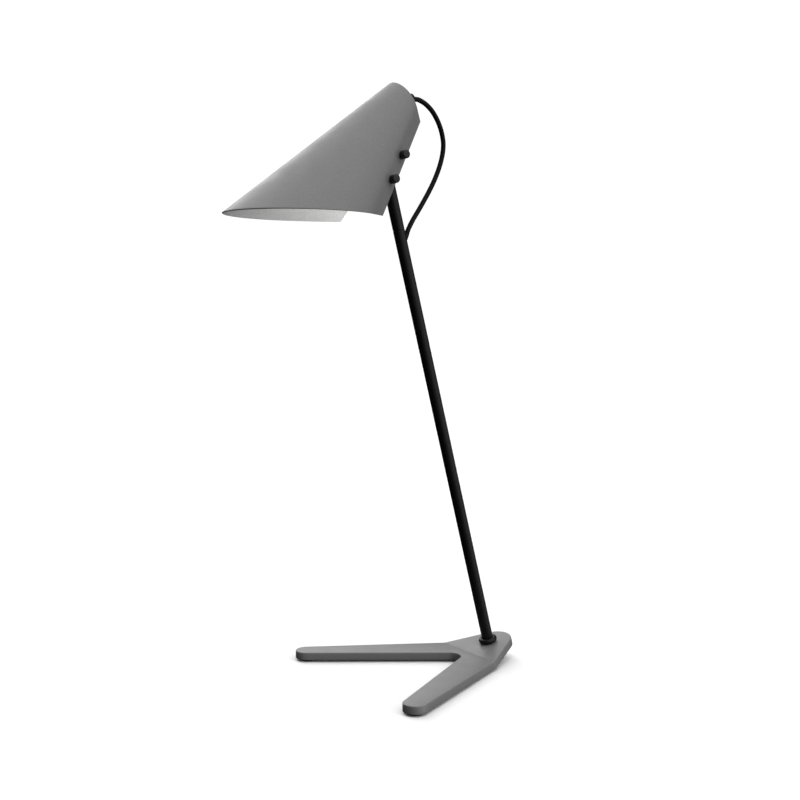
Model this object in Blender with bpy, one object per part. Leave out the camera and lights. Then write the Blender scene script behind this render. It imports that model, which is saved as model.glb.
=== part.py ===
"""Architect desk lamp: a rolled sheet shade tilting on a slim stem that leans forward from a V-shaped plate.

Forward is -Y, the lamp's left and right sides are -X and +X, and Z points up. The origin lies on the
resting surface, in the middle of the lamp's length and width. Dimensions below are in millimetres.
"""
import math

import bmesh
import bpy
from mathutils import Matrix, Vector

MM = 0.001
GAP = 0.3                      # clearance between neighbouring pieces
SEGMENTS = 36                  # sides of the larger round pieces
FINE = 20                      # sides of the small round pieces

# Base plate. "Forward" runs from the rear of the lamp's foot towards the tip of the shade.
CENTRE_FORWARD = 160.77        # forward position of the origin
FOOT_HEIGHT = 2.3              # underside of the plate above the resting surface
PLATE = 8.3                    # thickness of the plate
ARM_END = (188.4, 103.4)       # forward and side position of the round end of an arm
ARM_RADIUS = 12.2
CROTCH = (74.5, 12.4)          # forward position and radius of the fillet between the arms
BEND = (49.7, 44.7)            # forward and side position of the outer corners on the bend line
BEND_RADIUS = 6.0
LEG_END = 31.7                 # centre of the round end of the rear leg, behind the bend
LEG_RADIUS = 22.4
PLATE_EDGE = 0.7               # rounding of the plate's edges

# Feet: name, forward, side.
FEET = [("foot_arm_right", ARM_END[0], ARM_END[1]),
        ("foot_arm_left", ARM_END[0], -ARM_END[1]),
        ("foot_heel_right", BEND[0] + 11, 29.0),
        ("foot_heel_left", BEND[0] + 11, -29.0)]
FOOT_RADIUS = 8.0
PEG_RADIUS = 3.0
PEG_HEIGHT = 3.5
NIPPLE_RADIUS = 4.7
NIPPLE_BORE = 3.6

# Stem, square to the raised rear leg.
LEAN = math.radians(14.9)
STEM_FOOT = 28.3               # stem axis behind the bend, along the leg
STEM_RADIUS = 6.0
STEM_WALL = 1.0
SEAM = 452.0                   # height along the stem where the tube meets the head
RING_RADIUS = 9.9
RING_HEIGHT = 5.6
TONGUE = 4.0                   # half thickness of the flat tongue at the top of the stem
TONGUE_START = 498.0
TONGUE_TOP_RADIUS = 7.4
FLAT_DEPTH = 0.15              # depth of the two flats milled on the stem head

# Tilt pivot and stop rod, in the stem's frame: distance in front of the stem axis, height along it.
PIVOT = (-2.2, 523.0)
STOP = (19.9, 502.8)
ROD_RADIUS = 2.5
KNOB_RADIUS = 4.1
KNOB_LENGTH = 6.0
KNOB_EDGE = 1.3
CHEEK = (6.3, 7.8)             # inner and outer faces of the bracket's cheeks
SPACER_RADIUS = 4.0

# Shade, in a frame with its origin at the front tip, z along the ridge and y down into the shade.
TIP = (326.15, 463.64)           # forward and up position of the front tip
RIDGE = math.radians(37.06)    # slope of the ridge
RIDGE_LENGTH = 223.6
SHEET = 1.0
ROLL_RADIUS = (81.15, 21.6)     # radius of the roll at the tip and at the upper end of the ridge
ROLL_LEAN = (24.1, 23.8)       # degrees by which the flanks turn inwards, at the same places
TOP_CORNER = (45.6, 221.7)     # depth below the ridge and distance from the tip
BOTTOM_CORNER = 114.2          # distance from the tip
BOTTOM_DROP = 0.46              # lower corners below the tip
BOTTOM_BOW = 0.2               # upward bow of the bottom edge
END_PLATE = (219.4, 221.0)     # front and back faces of the end plate
LAMP_DEPTH = 22.6              # lampholder axis below the ridge

# Cord between the shade and the stem.
CORD_RADIUS = 2.5
GLAND_STAND = 5.9              # foot of the gland beyond the end plate
GLAND_TILT = math.radians(22)
GLAND_LENGTH = 10.5
ENTRY = (-6.0, 443.0)          # where the cord's sleeve crosses the back of the stem
ENTRY_TILT = math.radians(38)  # sleeve direction from the stem axis
SLEEVE_OUT = 4.3
SLEEVE_IN = 5.0

# The cord's own points between its two ends, as forward and up positions.
CORD_POINTS = [(117.0, 585.35), (113.2, 584.8), (104.9, 581.2), (96.0, 573.5), (88.3, 561.3),
               (84.3, 548.1), (84.3, 537.0), (87.4, 524.3), (93.1, 510.4), (101.2, 495.6),
               (112.4, 478.3), (121.3, 465.4)]


# ---------------------------------------------------------------- frames and helpers

def place(side, forward, up):
    """World position, in metres, of a point given as side, forward and up in millimetres."""
    return Vector((side, CENTRE_FORWARD - forward, up)) * MM


def frame(origin, z_axis):
    """Matrix of a frame with its x axis along the lamp's +X and its z axis along z_axis."""
    x_axis = Vector((1, 0, 0))
    z_axis = Vector(z_axis).normalized()
    y_axis = z_axis.cross(x_axis)
    rows = Matrix((x_axis, y_axis, z_axis)).transposed().to_4x4()
    return Matrix.Translation(origin) @ rows


def shift(matrix, x=0.0, y=0.0, z=0.0):
    return matrix @ Matrix.Translation(Vector((x, y, z)) * MM)


def leg_top(behind, depth=0.0):
    """Forward and up position on the plate, at a distance behind the bend and a depth below the top."""
    radius = BEND_RADIUS + depth
    arc = BEND_RADIUS * LEAN
    turn = min(max(behind / BEND_RADIUS, 0.0), LEAN)
    rest = behind if behind < 0 else max(behind - arc, 0.0)
    forward = BEND[0] - radius * math.sin(turn) - rest * math.cos(turn)
    up = FOOT_HEIGHT + PLATE + BEND_RADIUS - radius * math.cos(turn) + rest * math.sin(turn)
    return forward, up


STEM = frame(place(0, *leg_top(STEM_FOOT)), (0, -math.sin(LEAN), math.cos(LEAN)))
SHADE = frame(place(0, *TIP), (0, math.cos(RIDGE), math.sin(RIDGE)))
ACROSS = Matrix.Rotation(math.radians(90), 4, "Y")     # turns a local z axis onto the lamp's +X
PIVOT_FRAME = shift(STEM, y=-PIVOT[0], z=PIVOT[1]) @ ACROSS
STOP_FRAME = shift(STEM, y=-STOP[0], z=STOP[1]) @ ACROSS
LAMP = shift(SHADE, y=LAMP_DEPTH)


def clear_scene():
    for item in list(bpy.data.objects):
        bpy.data.objects.remove(item)


def material(name, color, roughness, metallic=0.0):
    made = bpy.data.materials.get(name)
    if made is None:
        made = bpy.data.materials.new(name)
        made.use_nodes = True
        shader = made.node_tree.nodes["Principled BSDF"]
        shader.inputs["Base Color"].default_value = (*color, 1.0)
        shader.inputs["Roughness"].default_value = roughness
        shader.inputs["Metallic"].default_value = metallic
    return made


def grey_paint():
    return material("grey_paint", (0.50, 0.50, 0.50), 0.55)


def black_coat():
    return material("black_coat", (0.02, 0.02, 0.02), 0.40)


def rubber():
    return material("rubber", (0.015, 0.015, 0.015), 0.80)


def steel():
    return material("steel", (0.60, 0.60, 0.60), 0.35, 1.0)


def brass():
    return material("brass", (0.75, 0.60, 0.30), 0.35, 1.0)


def black_plastic():
    return material("black_plastic", (0.02, 0.02, 0.02), 0.35)


def white_glass():
    return material("white_glass", (0.90, 0.90, 0.88), 0.30)


def finish_object(name, bm, matrix, look, smooth=35.0):
    """Turn a bmesh, in metres in its own frame, into a placed object with one material."""
    bmesh.ops.remove_doubles(bm, verts=bm.verts, dist=1e-7)
    bmesh.ops.recalc_face_normals(bm, faces=bm.faces)
    mesh = bpy.data.meshes.new(name)
    bm.to_mesh(mesh)
    bm.free()
    mesh.shade_smooth()
    mesh.set_sharp_from_angle(angle=math.radians(smooth))
    made = bpy.data.objects.new(name, mesh)
    bpy.context.scene.collection.objects.link(made)
    made.matrix_world = matrix
    made.data.materials.append(look)
    return made


def turned(name, profile, matrix, look, segments=FINE):
    """Solid of revolution about the local z axis. The profile's points are radius and height."""
    bm = bmesh.new()
    points = [bm.verts.new((radius * MM, 0, height * MM)) for radius, height in profile]
    pairs = list(zip(points, points[1:] + points[:1]))
    if profile[0][0] == 0.0:
        pairs = pairs[:-1]
    edges = [bm.edges.new(pair) for pair in pairs]
    bmesh.ops.spin(bm, geom=points + edges, axis=(0, 0, 1), cent=(0, 0, 0),
                   angle=2 * math.pi, steps=segments)
    return finish_object(name, bm, matrix, look)


def ring_profile(inner, outer, low, high, edge=0.0):
    """Profile of a ring with its outer corners chamfered by edge."""
    if edge == 0.0:
        return [(outer, low), (outer, high), (inner, high), (inner, low)]
    return [(outer - edge, low), (outer, low + edge), (outer, high - edge),
            (outer - edge, high), (inner, high), (inner, low)]


def rounded_corner(centre, radius, start, end, steps):
    """Points of an arc, from start to end in degrees, about a centre given as two coordinates."""
    turn = [math.radians(start + (end - start) * i / steps) for i in range(steps + 1)]
    return [(centre[0] + radius * math.cos(a), centre[1] + radius * math.sin(a)) for a in turn]


def extruded(name, outline, low, high, matrix, look):
    """Prism of an outline in the local xy plane, between two heights."""
    bm = bmesh.new()
    face = bm.faces.new([bm.verts.new((x * MM, y * MM, low * MM)) for x, y in outline])
    grown = bmesh.ops.extrude_face_region(bm, geom=[face])
    moved = [item for item in grown["geom"] if isinstance(item, bmesh.types.BMVert)]
    bmesh.ops.translate(bm, verts=moved, vec=(0, 0, (high - low) * MM))
    return finish_object(name, bm, matrix, look)


def combine(target, tool, operation="DIFFERENCE"):
    """Cut target with tool, or join tool to it; the tool itself is only a guide."""
    tool.hide_render = True
    tool.display_type = "WIRE"
    step = target.modifiers.new(operation.lower(), "BOOLEAN")
    step.operation = operation
    step.solver = "EXACT"
    step.object = tool


def drill(target, radius, low, high, matrix, segments=FINE):
    tool = turned(target.name + "_drill", [(0, low), (radius, low), (radius, high), (0, high)],
                  matrix, steel(), segments)
    combine(target, tool)


def hull_of_two(first, first_radius, second, second_radius, steps=12):
    """Outline around two circles and the straight lines that touch both."""
    dx = second[0] - first[0]
    dy = second[1] - first[1]
    heading = math.degrees(math.atan2(dy, dx))
    half = math.degrees(math.acos((first_radius - second_radius) / math.hypot(dx, dy)))
    far = rounded_corner(second, second_radius, heading - half, heading + half, steps)
    near = rounded_corner(first, first_radius, heading + half, heading + 360 - half, steps)
    return far + near


def edge_turn(start, centre, radius):
    """Direction, in degrees, of the left-hand normal of the line from start that touches a circle.

    The circle lies to the right of the line; a negative radius puts it on the left.
    """
    dx = centre[0] - start[0]
    dy = centre[1] - start[1]
    return math.degrees(math.atan2(dy, dx) + math.acos(-radius / math.hypot(dx, dy)))


def mirrored(points):
    return [(first, -second) for first, second in reversed(points)]


# ---------------------------------------------------------------- base

def arm_outline():
    """Edge of one arm, as forward and side points: bend, round end, and the middle of the crotch."""
    outer = edge_turn(BEND, ARM_END, ARM_RADIUS)
    crotch = (CROTCH[0], 0.0)
    inner = 2 * math.degrees(math.atan2(ARM_END[1], ARM_END[0] - crotch[0]))
    inner -= edge_turn(crotch, ARM_END, ARM_RADIUS + CROTCH[1])
    arm = rounded_corner(ARM_END, ARM_RADIUS, outer, inner, 18)
    fillet = rounded_corner(crotch, CROTCH[1], inner + 180, 180, 6)
    return [BEND] + arm + fillet


def plate_rows():
    """Outline of the plate as (behind, side) points: the flat V, the bend's rows and the leg's end."""
    arm = [(BEND[0] - forward, side) for forward, side in arm_outline()]
    flat = arm + mirrored(arm[:-1])
    end = (LEG_END, 0.0)
    turn = edge_turn((0.0, BEND[1]), end, LEG_RADIUS)
    leg = rounded_corner(end, LEG_RADIUS, -turn, turn, 24)
    bend = []
    steps = 3
    for i in range(1, steps + 1):
        behind = BEND_RADIUS * LEAN * i / steps
        bend.append((behind, BEND[1] + (leg[-1][1] - BEND[1]) * behind / leg[-1][0]))
    return flat, bend, leg


def base_plate():
    """V-shaped plate whose rear leg is bent up, square to the stem."""
    flat, bend, leg = plate_rows()
    bm = bmesh.new()

    def points(row, depth):
        return [bm.verts.new(place(side, *leg_top(behind, depth))) for behind, side in row]

    loops = []
    for depth in (0.0, PLATE):
        front = points(flat, depth)
        left = points([(behind, -side) for behind, side in bend], depth)
        rear = points(leg, depth)
        right = points(bend, depth)
        bm.faces.new(front)
        bm.faces.new([front[0], front[-1], left[0], right[0]])
        for i in range(len(bend) - 1):
            bm.faces.new([right[i], left[i], left[i + 1], right[i + 1]])
        bm.faces.new([right[-1], left[-1]] + rear)
        loops.append(front + left + rear + right[::-1])
    top, bottom = loops
    for i in range(len(top)):
        bm.faces.new([top[i - 1], top[i], bottom[i], bottom[i - 1]])
    plate = finish_object("base_plate", bm, Matrix.Identity(4), grey_paint())
    rounding = plate.modifiers.new("edges", "BEVEL")
    rounding.width = PLATE_EDGE * MM
    rounding.segments = 1
    rounding.limit_method = "ANGLE"
    rounding.angle_limit = math.radians(50)
    drill(plate, NIPPLE_RADIUS + GAP, -PLATE - 3, 3, STEM)
    for name, forward, side in FEET:
        seat = frame(place(side, forward, 0), (0, 0, 1))
        drill(plate, PEG_RADIUS + GAP, 0, FOOT_HEIGHT + PEG_HEIGHT + GAP, seat, 24)
    return plate


def feet():
    """Rubber feet, each with a peg pressed up into the plate."""
    for name, forward, side in FEET:
        top = FOOT_HEIGHT - GAP
        profile = [(0, 0), (FOOT_RADIUS - 0.6, 0), (FOOT_RADIUS, 0.6), (FOOT_RADIUS, top), (PEG_RADIUS, top),
                   (PEG_RADIUS, FOOT_HEIGHT + PEG_HEIGHT), (0, FOOT_HEIGHT + PEG_HEIGHT)]
        turned(name, profile, frame(place(side, forward, 0), (0, 0, 1)), rubber())


def stem_fixing():
    """Hollow nipple, washer, nut and cable bush that hold the stem on the leg."""
    under = -PLATE - GAP
    turned("stem_nipple", ring_profile(NIPPLE_BORE, NIPPLE_RADIUS, under - 4.6, 16), STEM, steel())
    turned("nipple_washer", ring_profile(NIPPLE_RADIUS + GAP, 8.0, under - 1.0, under), STEM, steel())
    hexagon = rounded_corner((0, 0), 7.6, 0, 300, 5)
    nut = extruded("nipple_nut", hexagon, under - 4.3, under - 1.0 - GAP, STEM, steel())
    drill(nut, NIPPLE_RADIUS + GAP, under - 6, under, STEM)
    turned("cable_outlet_bush", ring_profile(2.4, NIPPLE_BORE - GAP, under - 4.6, under + 2),
           STEM, rubber())


# ---------------------------------------------------------------- stem

def stem_ring():
    centre = RING_HEIGHT / 2 + GAP
    bulge = rounded_corner((RING_RADIUS - RING_HEIGHT / 2, centre), RING_HEIGHT / 2, -90, 90, 8)
    inner = STEM_RADIUS + GAP
    profile = bulge + [(inner, centre + RING_HEIGHT / 2), (inner, centre - RING_HEIGHT / 2)]
    turned("stem_ring", profile, STEM, black_coat(), SEGMENTS)


def entry_frame():
    """Frame at the cord's entry, with z pointing out of the stem along the cord."""
    direction = Vector((0, math.sin(ENTRY_TILT), math.cos(ENTRY_TILT)))
    origin = shift(STEM, y=-ENTRY[0], z=ENTRY[1])
    return frame(origin.to_translation(), STEM.to_3x3() @ direction)


def stem_tube():
    tube = turned("stem_tube", ring_profile(STEM_RADIUS - STEM_WALL, STEM_RADIUS, GAP, SEAM - GAP / 2),
                  STEM, black_coat(), SEGMENTS)
    drill(tube, CORD_RADIUS + 0.25 + GAP, -SLEEVE_IN, SLEEVE_OUT, entry_frame())
    turned("cord_entry_sleeve",
           ring_profile(1.2, CORD_RADIUS + 0.2, -SLEEVE_IN, SLEEVE_OUT, 0.3),
           entry_frame(), rubber())


def box(name, low, high, matrix):
    outline = [(low[0], low[1]), (high[0], low[1]), (high[0], high[1]), (low[0], high[1])]
    return extruded(name, outline, low[2], high[2], matrix, steel())


def stem_head():
    """Solid head of the stem: a spigot in the tube, two milled flats, and the tongue at the pivot."""
    spigot = STEM_RADIUS - STEM_WALL - GAP
    shoulder = SEAM + GAP / 2
    top = TONGUE_START + 10
    head = turned("stem_head",
                  [(0, SEAM - 5.5), (spigot, SEAM - 5.5), (spigot, shoulder),
                   (STEM_RADIUS - 0.2, shoulder), (STEM_RADIUS, shoulder + 0.2),
                   (STEM_RADIUS, top), (0, top)],
                  STEM, black_coat(), SEGMENTS)
    for side in (-1, 1):
        for name, inner, start in (("flat", STEM_RADIUS - FLAT_DEPTH, SEAM + 0.6),
                                   ("tongue", TONGUE, TONGUE_START)):
            xs = sorted((side * inner, side * 12))
            tool = box(f"head_{name}_cut", (xs[0], -12, start), (xs[1], 12, top + 10), STEM)
            combine(head, tool)
    lug = hull_of_two((PIVOT[1], -PIVOT[0]), TONGUE_TOP_RADIUS, (top - 4, 0.0), STEM_RADIUS - 0.4)
    # The lug's outline runs in the plane of the stem's height and depth, across its thickness.
    plane = STEM @ Matrix(((0, 0, 1, 0), (0, 1, 0, 0), (-1, 0, 0, 0), (0, 0, 0, 1)))
    lug_tool = extruded("head_lug", [(-height, back) for height, back in lug], -TONGUE, TONGUE,
                        plane, steel())
    combine(head, lug_tool, "UNION")
    drill(head, ROD_RADIUS + GAP, -10, 10, PIVOT_FRAME)
    return head


# ---------------------------------------------------------------- shade

def lerp(ends, t):
    return ends[0] + (ends[1] - ends[0]) * t


def half_width(depth, along):
    """Half width of the rolled sheet at a depth below its ridge and a distance along it."""
    t = along / RIDGE_LENGTH
    radius = lerp(ROLL_RADIUS, t)
    lean = math.radians(lerp(ROLL_LEAN, t))
    flank = radius * (1 + math.sin(lean))
    if depth < flank:
        return math.sqrt(max(radius ** 2 - (radius - depth) ** 2, 0.0))
    return radius * math.cos(lean) - (depth - flank) * math.tan(lean)


def width_at(point):
    """Half width of the shade, in millimetres, beside a world point."""
    local = SHADE.inverted() @ point / MM
    return half_width(local.y, local.z)


def bottom_edge(t):
    """Distance along the ridge and depth of the bottom edge, from the tip (0) to its corner (1)."""
    along = BOTTOM_CORNER * t
    rise = BOTTOM_BOW * 4 * t * (1 - t) - BOTTOM_DROP * t
    return along, (along * math.sin(RIDGE) - rise) / math.cos(RIDGE)


def upper_edge(depth):
    """Distance along the ridge of the rim or, below the rim's corner, of the back edge."""
    corner_depth, corner_along = TOP_CORNER
    if depth <= corner_depth:
        return lerp((RIDGE_LENGTH, corner_along), depth / corner_depth)
    bottom_depth = bottom_edge(1.0)[1]
    share = (depth - corner_depth) / (bottom_depth - corner_depth)
    return lerp((corner_along, BOTTOM_CORNER), share)


def shade_sheet():
    """One sheet rolled about a straight ridge, widest at the front, with a level bottom edge."""
    rim_rows, flank_rows, columns = 11, 4, 14
    low, high = 0.0, 1.0
    for _ in range(40):
        middle = (low + high) / 2
        if bottom_edge(middle)[1] < TOP_CORNER[0]:
            low = middle
        else:
            high = middle
    corner = (low + high) / 2
    shares = [corner * (i / rim_rows) ** 2 for i in range(rim_rows)]
    shares += [lerp((corner, 1.0), i / flank_rows) for i in range(flank_rows)]
    bm = bmesh.new()
    rows = {1: [], -1: []}
    for share in shares:
        start, depth = bottom_edge(share)
        stop = upper_edge(depth)
        for side in rows:
            if share == 0.0 and side == -1:
                rows[side].append(rows[1][0])
                continue
            row = []
            for j in range(columns + 1):
                along = lerp((start, stop), j / columns)
                width = side * half_width(depth, along)
                row.append(bm.verts.new((width * MM, depth * MM, along * MM)))
            rows[side].append(row)
    along, depth = bottom_edge(1.0)
    for side, strip in rows.items():
        corner_vert = bm.verts.new((side * half_width(depth, along) * MM, depth * MM, along * MM))
        for upper, lower in zip(strip, strip[1:]):
            for j in range(columns):
                quad = [upper[j], upper[j + 1], lower[j + 1], lower[j]]
                bm.faces.new(quad if side > 0 else quad[::-1])
        for j in range(columns):
            fan = [strip[-1][j], strip[-1][j + 1], corner_vert]
            bm.faces.new(fan if side > 0 else fan[::-1])
    sheet = finish_object("shade", bm, SHADE, grey_paint(), 60)
    skin = sheet.modifiers.new("sheet", "SOLIDIFY")
    skin.thickness = SHEET * MM
    skin.offset = -1.0
    skin.use_even_offset = True
    for rod in (PIVOT_FRAME, STOP_FRAME):
        drill(sheet, ROD_RADIUS + GAP, -60, 60, rod, 24)
    return sheet


def end_plate():
    """Plate across the upper end of the roll, which carries the lampholder and the gland."""
    low, high = END_PLATE
    t = high / RIDGE_LENGTH
    lean = lerp(ROLL_LEAN, t)
    radius = lerp(ROLL_RADIUS, t)
    inner = radius - SHEET - 2 * GAP
    arc = rounded_corner((0, radius), inner, -90, lean, 14)
    reach = 9.0
    last = arc[-1]
    foot = (last[0] - reach * math.sin(math.radians(lean)), last[1] + reach * math.cos(math.radians(lean)))
    side = arc[1:] + [foot]
    outline = [arc[0]] + side + [(-x, y) for x, y in reversed(side)]
    plate = extruded("shade_end_plate", outline, low, high, SHADE, grey_paint())
    drill(plate, NIPPLE_RADIUS + GAP, low - 3, high + 3, LAMP)
    return plate


def lampholder():
    """Bakelite holder with its threaded sleeve and centre contact, on a nipple through the end plate."""
    back = END_PLATE[0] - GAP
    mouth = back - 44
    cavity = back - 12
    profile = [(NIPPLE_RADIUS + GAP, back), (NIPPLE_RADIUS + GAP, cavity), (9.0, cavity), (9.0, mouth),
               (13.0, mouth), (13.0, mouth + 18), (11.8, mouth + 20), (11.8, back - 3),
               (10.0, back)]
    holder = [turned("lampholder_body", profile, LAMP, black_plastic(), SEGMENTS)]
    holder.append(turned("lampholder_nipple",
                         ring_profile(NIPPLE_BORE, NIPPLE_RADIUS, back - 8, END_PLATE[1] + 4.3),
                         LAMP, steel()))
    holder.append(turned("lampholder_sleeve",
                         ring_profile(7.6, 8.4, mouth + 4, cavity - GAP), LAMP, brass()))
    holder.append(turned("lampholder_contact",
                         [(0, cavity - 3.6), (2.6, cavity - 3.0), (2.6, cavity - GAP), (0, cavity - GAP)],
                         LAMP, brass()))
    return holder


def bulb():
    """Candle bulb: a threaded cap in the sleeve and a frosted glass in front of it."""
    back = END_PLATE[0] - GAP
    tip = back - 12 - 4.0
    neck = back - 44 + 1.0
    cap = [(0, tip), (2.4, tip), (4.6, tip - 3)]
    threads = 6
    for i in range(threads):
        base = tip - 4 - 3.0 * i
        cap += [(7.1, base), (6.5, base - 1.5)]
    cap += [(7.2, neck), (0, neck)]
    made = [turned("bulb_cap", cap, LAMP, brass())]
    length, widest = 70.0, 17.5
    glass = [(0, neck - GAP)]
    steps = 12
    for i in range(steps):
        t = i / steps
        swell = math.sin(math.pi * min(t / 0.42, 1.0) / 2) if t < 0.42 else 1.0
        taper = 1.0 if t < 0.42 else math.cos(math.pi / 2 * (t - 0.42) / 0.58) ** 0.75
        radius = (7.2 + (widest - 7.2) * swell) * taper
        glass.append((radius, neck - GAP - length * t))
    glass.append((0, neck - GAP - length))
    made.append(turned("bulb_glass", glass, LAMP, white_glass(), SEGMENTS))
    return made


def gland():
    """Nut on the end plate and the tapered gland that the cord leaves by."""
    low = END_PLATE[1] + GAP
    hexagon = rounded_corner((0, 0), 7.2, 30, 330, 5)
    nut = extruded("gland_nut", hexagon, low, low + 3.4, LAMP, steel())
    drill(nut, NIPPLE_RADIUS + GAP, low - 1, low + 5, LAMP)
    profile = [(4.4, 0), (4.9, 0.5), (4.9, 4.6), (4.3, 5.4), (4.3, 6.6), (5.4, 7.0), (5.9, 7.5), (5.9, 8.8),
               (5.4, 9.3), (3.4, GLAND_LENGTH), (1.2, GLAND_LENGTH), (1.2, 0)]
    body = turned("cord_gland", profile, gland_frame(), rubber())
    return [nut, body]


def gland_frame():
    """Frame at the foot of the gland, with z along the gland, which droops from the ridge's line."""
    base = shift(LAMP, z=END_PLATE[1] + GLAND_STAND)
    direction = SHADE.to_3x3() @ Vector((0, math.sin(GLAND_TILT), math.cos(GLAND_TILT)))
    return frame(base.to_translation(), direction)


# ---------------------------------------------------------------- tilt joint

def side_frame(axis_frame, side):
    """Frame on a rod's axis with z pointing out to the given side."""
    return axis_frame if side > 0 else axis_frame @ Matrix.Rotation(math.pi, 4, "Y")


def fitted_ring(name, outer, low, high, matrix, look):
    """Ring on a rod whose ends are given as functions of the half width of the shade beside them."""
    bm = bmesh.new()
    loops = []
    for end, radius in ((low, ROD_RADIUS + GAP), (low, outer), (high, outer), (high, ROD_RADIUS + GAP)):
        loop = []
        for x, y in rounded_corner((0, 0), radius, 0, 360 * (1 - 1 / FINE), FINE - 1):
            width = width_at(matrix @ (Vector((x, y, 0)) * MM))
            loop.append(bm.verts.new(Vector((x, y, end(width))) * MM))
        loops.append(loop)
    for first, second in zip(loops, loops[1:] + loops[:1]):
        for j in range(FINE):
            bm.faces.new([first[j - 1], first[j], second[j], second[j - 1]])
    return finish_object(name, bm, matrix, look)


def rod_stack(label, axis_frame):
    """Rod through both flanks of the shade, with a spacer, a tapered seat and a knob on each side."""
    centre = axis_frame.to_translation()
    around = [width_at(centre + STEM.to_3x3() @ Vector((0, math.cos(a), math.sin(a))) * KNOB_RADIUS * MM)
              for a in (math.radians(10 * i) for i in range(36))]
    seat_top = max(around) + GAP + 0.6
    knob_base = seat_top + GAP
    made = []
    reach = knob_base + KNOB_LENGTH - 1.8
    made.append(turned(f"{label}_rod", [(0, -reach), (ROD_RADIUS, -reach), (ROD_RADIUS, reach), (0, reach)],
                       axis_frame, steel()))
    flank = SHEET / math.cos(math.radians(ROLL_LEAN[1])) + GAP
    for side, word in ((1, "right"), (-1, "left")):
        own = side_frame(axis_frame, side)
        made.append(fitted_ring(f"{label}_spacer_{word}", SPACER_RADIUS,
                                lambda width: CHEEK[1] + GAP, lambda width: width - flank - 0.1,
                                own, black_coat()))
        made.append(fitted_ring(f"{label}_seat_{word}", KNOB_RADIUS,
                                lambda width: width + GAP, lambda width: seat_top, own, rubber()))
        knob = [(0, 4.4), (ROD_RADIUS + GAP, 4.4), (ROD_RADIUS + GAP, 0), (KNOB_RADIUS, 0)]
        knob += rounded_corner((KNOB_RADIUS - KNOB_EDGE, KNOB_LENGTH - KNOB_EDGE), KNOB_EDGE, 0, 90, 3)
        knob += [(0, KNOB_LENGTH)]
        turned(f"{label}_knob_{word}", knob, shift(own, z=knob_base), black_plastic())
    return made


def tilt_bracket():
    """U-shaped bracket that clamps the tongue between its cheeks and ties the two rods together."""
    first = (-PIVOT[0], PIVOT[1])
    second = (-STOP[0], STOP[1])
    # Local x runs back and local y up the stem, so that local z points to the lamp's right.
    plane = STEM @ Matrix(((0, 0, 1, 0), (1, 0, 0, 0), (0, 1, 0, 0), (0, 0, 0, 1)))
    outline = hull_of_two(first, 7.0, second, 6.0)
    bracket = extruded("tilt_bracket", outline, CHEEK[0], CHEEK[1], plane, steel())
    other = extruded("bracket_cheek", outline, -CHEEK[1], -CHEEK[0], plane, steel())
    along = Vector((second[0] - first[0], second[1] - first[1])).normalized()
    across = Vector((along.y, -along.x))
    if across.y < 0:
        across = -across
    start = Vector(first)
    corners = [start + along * a + across * b for a, b in ((11, 4.6), (25, 4.6), (25, 6.0), (11, 6.0))]
    web = extruded("bracket_web", [tuple(c) for c in corners], -CHEEK[0] - 0.7, CHEEK[0] + 0.7,
                   plane, steel())
    combine(bracket, web, "UNION")
    combine(bracket, other, "UNION")
    for rod in (PIVOT_FRAME, STOP_FRAME):
        drill(bracket, ROD_RADIUS + GAP, -10, 10, rod, 24)
    return bracket


def friction_washers():
    made = []
    for side, word in ((1, "right"), (-1, "left")):
        made.append(turned(f"friction_washer_{word}",
                           ring_profile(ROD_RADIUS + GAP, 6.5, TONGUE + GAP, CHEEK[0] - GAP),
                           side_frame(PIVOT_FRAME, side), rubber()))
    return made


# ---------------------------------------------------------------- cord

def cord_route():
    """Forward and up positions of the cord's own points, from the gland round behind to the stem."""
    start = GLAND_LENGTH + GAP + 0.5
    stop = SLEEVE_OUT + GAP + 0.1
    ends = [(gland_frame(), start), (entry_frame(), stop + 5), (entry_frame(), stop)]
    ends = [matrix @ (Vector((0, 0, height)) * MM) for matrix, height in ends]
    ends = [(CENTRE_FORWARD - p.y / MM, p.z / MM) for p in ends]
    return ends[:1] + CORD_POINTS + ends[1:]


def smooth_path(points, steps):
    """Points of a smooth curve through the given ones."""
    path = []
    padded = [points[0]] + points + [points[-1]]
    for before, a, b, after in zip(padded, padded[1:], padded[2:], padded[3:]):
        for i in range(steps):
            t = i / steps
            path.append(tuple(
                0.5 * (2 * q + (r - p) * t + (2 * p - 5 * q + 4 * r - s) * t * t
                       + (3 * q - p - 3 * r + s) * t ** 3)
                for p, q, r, s in zip(before, a, b, after)))
    return path + [points[-1]]


def head_cord():
    """Free loop of cord from the gland to the back of the stem."""
    path = smooth_path(cord_route(), 2)
    curve = bpy.data.curves.new("head_cord", "CURVE")
    curve.dimensions = "3D"
    curve.bevel_depth = CORD_RADIUS * MM
    curve.bevel_resolution = 2
    curve.use_fill_caps = True
    spline = curve.splines.new("POLY")
    spline.points.add(len(path) - 1)
    for point, (forward, up) in zip(spline.points, path):
        point.co = (*place(0, forward, up), 1)
    cord = bpy.data.objects.new("head_cord", curve)
    bpy.context.scene.collection.objects.link(cord)
    curve.materials.append(rubber())
    return cord


def hang_on_pivot(pieces):
    """Parent the moving head's pieces to an empty on the tilt axis, where they are."""
    empty = bpy.data.objects.new("head_pivot", None)
    bpy.context.scene.collection.objects.link(empty)
    empty.matrix_world = PIVOT_FRAME
    for piece in pieces:
        at = piece.matrix_world.copy()
        piece.parent = empty
        piece.matrix_parent_inverse = PIVOT_FRAME.inverted()
        piece.matrix_world = at


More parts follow.
